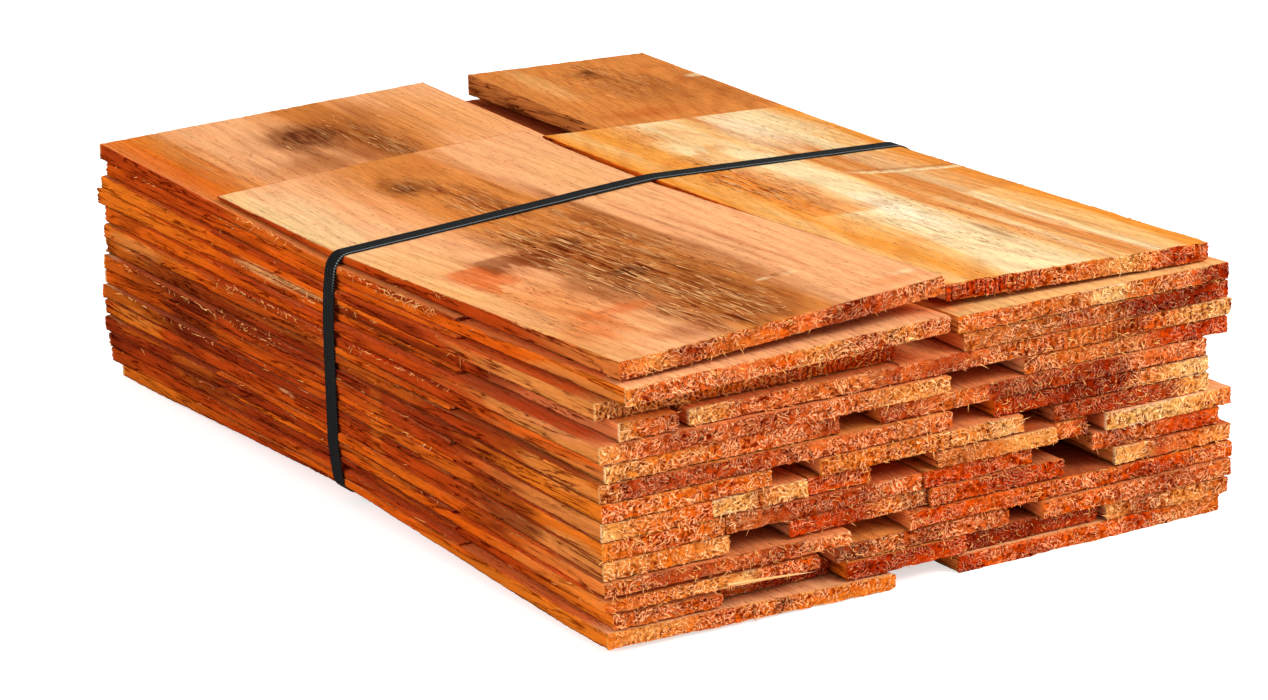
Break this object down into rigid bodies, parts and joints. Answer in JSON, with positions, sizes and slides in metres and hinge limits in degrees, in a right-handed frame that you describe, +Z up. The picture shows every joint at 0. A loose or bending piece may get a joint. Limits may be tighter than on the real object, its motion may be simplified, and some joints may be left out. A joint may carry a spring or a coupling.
{
  "type": "bundle of wood shingles",
  "caption": "Strapped bundle of tapered wood shingles with the thick butts outwards at both ends, the thin tips interleaved, and a plastic strap pulled tight round the middle.",
  "frame": {"origin": "on the floor under the middle of the bundle, below the strap", "axes": "+X across the bundle, along the shingle widths; +Y along the shingles, from the near butts to the far butts; +Z up"},
  "size_m": [0.4072, 0.635, 0.1662],
  "materials": {
    "cedar": "sawn and split bare wood, matte",
    "strap": "embossed black strapping, slight sheen"
  },
  "bodies": {
    "root": {"near_course_01": "cedar", "near_course_02": "cedar", "near_course_03": "cedar", "near_course_04": "cedar", "near_course_05": "cedar", "near_course_06": "cedar", "near_course_07": "cedar", "near_course_08": "cedar", "near_course_09": "cedar", "near_course_10": "cedar", "near_course_11": "cedar", "near_course_12": "cedar", "near_course_13": "cedar", "near_course_14": "cedar", "near_course_15": "cedar", "far_course_01": "cedar", "far_course_02": "cedar", "far_course_03": "cedar", "far_course_04": "cedar", "far_course_05": "cedar", "far_course_06": "cedar", "far_course_07": "cedar", "far_course_08": "cedar", "far_course_09": "cedar", "far_course_10": "cedar", "far_course_11": "cedar", "far_course_12": "cedar", "far_course_13": "cedar", "far_course_14": "cedar", "far_course_15": "cedar", "strap": "strap"}
  },
  "joints": []
}
